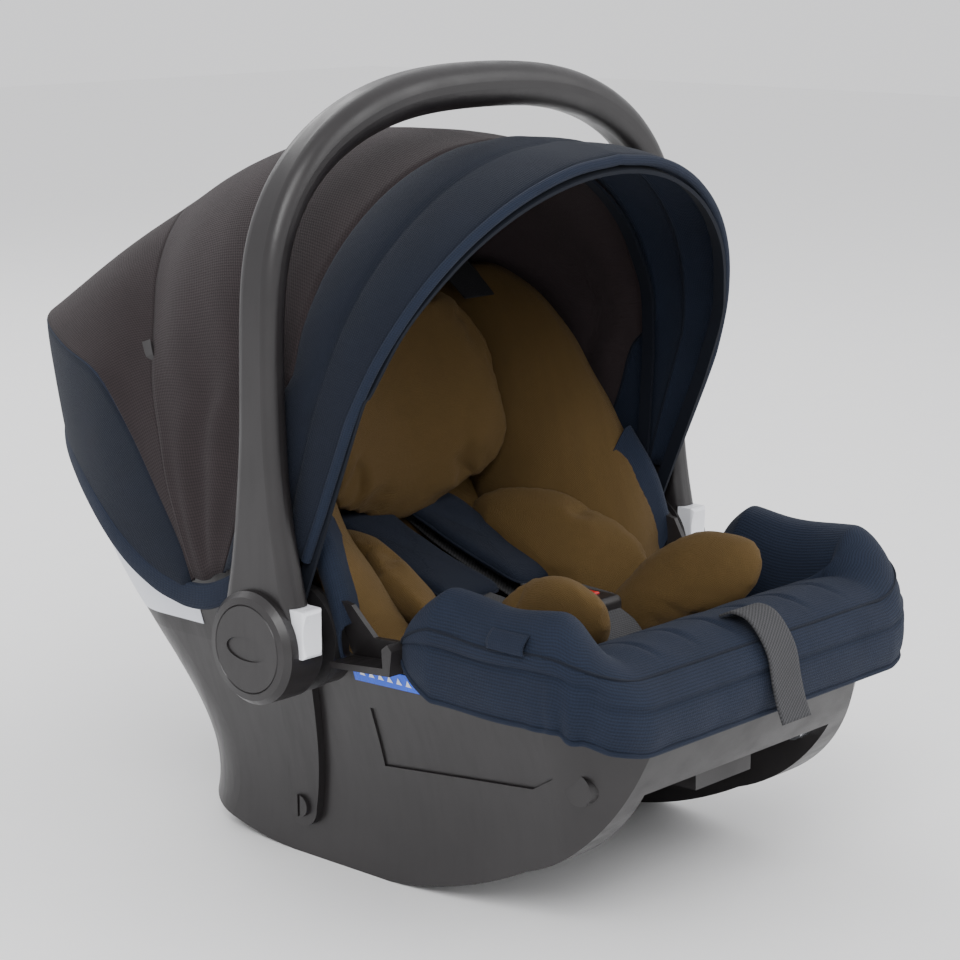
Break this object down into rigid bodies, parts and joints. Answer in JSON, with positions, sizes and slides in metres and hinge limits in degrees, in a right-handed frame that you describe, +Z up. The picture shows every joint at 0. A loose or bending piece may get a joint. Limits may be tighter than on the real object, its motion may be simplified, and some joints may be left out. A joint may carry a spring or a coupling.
{
  "type": "infant car seat",
  "caption": "Rear-facing infant carrier seat with rocker base, bucket shell, swinging carry handle with release buttons, folding canopy, padded cover and insert, and harness.",
  "frame": {"origin": "on the floor, under the middle of the whole object's box at rest", "axes": "+X to the right, +Y towards the head end (the longest extent, foot end at -Y), +Z up"},
  "size_m": [0.446, 0.6236, 0.5465],
  "materials": {
    "shell_plastic": "moulded charcoal plastic with a fine satin grain",
    "base_plastic": "moulded charcoal plastic, smoother than the upper shell",
    "handle_plastic": "moulded charcoal plastic, satin",
    "inner_plastic": "black moulded plastic",
    "button_white": "white moulded plastic, slightly glossy",
    "button_red": "red moulded plastic",
    "steel": "bright zinc-plated steel",
    "canopy_cloth": "taupe-brown woven cloth",
    "navy_cloth": "navy ribbed knit cloth",
    "insert_cloth": "mustard-brown brushed jersey",
    "webbing": "charcoal woven webbing",
    "label_blue": "blue film label",
    "label_white": "white film label",
    "foam": "expanded polystyrene"
  },
  "bodies": {
    "shell": {"adjuster_body": "steel", "adjuster_strap": "webbing", "belt_guides": "shell_plastic", "belt_labels": "label_blue", "buckle_body": "shell_plastic", "buckle_tongues": "steel", "canopy_rear_bow": "inner_plastic", "canopy_rear_panel": "canopy_cloth", "care_labels": "label_white", "crotch_strap": "webbing", "eps_liner": "foam", "foot_cover": "navy_cloth", "front_rod": "steel", "head_pillow": "insert_cloth", "head_tag": "webbing", "hip_strap_left": "webbing", "hip_strap_right": "webbing", "hub_screws": "steel", "insert_body": "insert_cloth", "insert_wing_left": "insert_cloth", "insert_wing_right": "insert_cloth", "leg_studs": "shell_plastic", "lock_rings": "inner_plastic", "pivot_pins": "steel", "pivot_plates": "steel", "rear_rod": "steel", "rocker_base": "base_plastic", "rocker_plugs": "shell_plastic", "rod_bracket": "shell_plastic", "rod_collars": "steel", "seat_bucket": "shell_plastic", "seat_cover": "navy_cloth", "shell_screws": "steel", "shoulder_pad_left": "navy_cloth", "shoulder_pad_right": "navy_cloth", "shoulder_strap_left": "webbing", "shoulder_strap_right": "webbing", "side_bolster_left": "insert_cloth", "side_bolster_right": "insert_cloth", "side_leg_left": "shell_plastic", "side_leg_right": "shell_plastic", "side_tabs": "webbing", "splitter_plate": "steel"},
    "handle": {"handle_arch": "handle_plastic", "handle_hub_left": "handle_plastic", "handle_hub_right": "handle_plastic", "hub_cover_left": "handle_plastic", "hub_cover_right": "handle_plastic"},
    "release_button_left": {"release_button_left": "button_white", "button_spring_left": "steel"},
    "release_button_right": {"release_button_right": "button_white", "button_spring_right": "steel"},
    "lock_gear_left": {"lock_gear_left": "inner_plastic"},
    "lock_gear_right": {"lock_gear_right": "inner_plastic"},
    "canopy_mid": {"canopy_mid_bow": "inner_plastic", "canopy_main": "canopy_cloth"},
    "canopy_front": {"canopy_front_bow": "inner_plastic", "canopy_visor": "navy_cloth"},
    "buckle_button": {"buckle_button": "button_red"},
    "adjuster_lever": {"adjuster_lever": "steel"}
  },
  "joints": [
    {"name": "handle_swing", "type": "hinge", "parent": "shell", "child": "handle", "pos_m": [0, -0.031, 0.176], "axis": [1, 0, 0], "range_deg": [-18, 105]},
    {"name": "button_press_left", "type": "slide", "parent": "handle", "child": "release_button_left", "axis": [0, 1, 0], "range_m": [0, 0.006], "stiffness_N_per_m": 400, "springref_m": -0.003, "deforming": ["button_spring_left"]},
    {"name": "button_press_right", "type": "slide", "parent": "handle", "child": "release_button_right", "axis": [0, 1, 0], "range_m": [0, 0.006], "stiffness_N_per_m": 400, "springref_m": -0.003, "deforming": ["button_spring_right"]},
    {"name": "gear_slide_left", "type": "slide", "parent": "handle", "child": "lock_gear_left", "axis": [-1, 0, 0], "range_m": [0, 0.0045]},
    {"name": "gear_slide_right", "type": "slide", "parent": "handle", "child": "lock_gear_right", "axis": [1, 0, 0], "range_m": [0, 0.0045]},
    {"name": "canopy_mid_fold", "type": "hinge", "parent": "shell", "child": "canopy_mid", "pos_m": [0, -0.031, 0.176], "axis": [1, 0, 0], "range_deg": [-36, 0], "deforming": ["canopy_main"]},
    {"name": "canopy_front_fold", "type": "hinge", "parent": "canopy_mid", "child": "canopy_front", "pos_m": [0, -0.031, 0.176], "axis": [1, 0, 0], "range_deg": [-12, 0], "deforming": ["canopy_visor"]},
    {"name": "buckle_press", "type": "slide", "parent": "shell", "child": "buckle_button", "axis": [0, 0, -1], "range_m": [0, 0.002], "stiffness_N_per_m": 1500, "springref_m": -0.001},
    {"name": "adjuster_press", "type": "hinge", "parent": "shell", "child": "adjuster_lever", "pos_m": [0, -0.227, 0.1685], "axis": [1, 0, 0], "range_deg": [0, 5], "stiffness_Nm_per_rad": 0.5, "springref_deg": -2.86}
  ],
  "couplings": [
    {"joint": "gear_slide_left", "follows": "button_press_left", "ratio": 0.75},
    {"joint": "gear_slide_right", "follows": "button_press_right", "ratio": 0.75},
    {"joint": "canopy_front_fold", "follows": "canopy_mid_fold", "ratio": 0.33333}
  ]
}
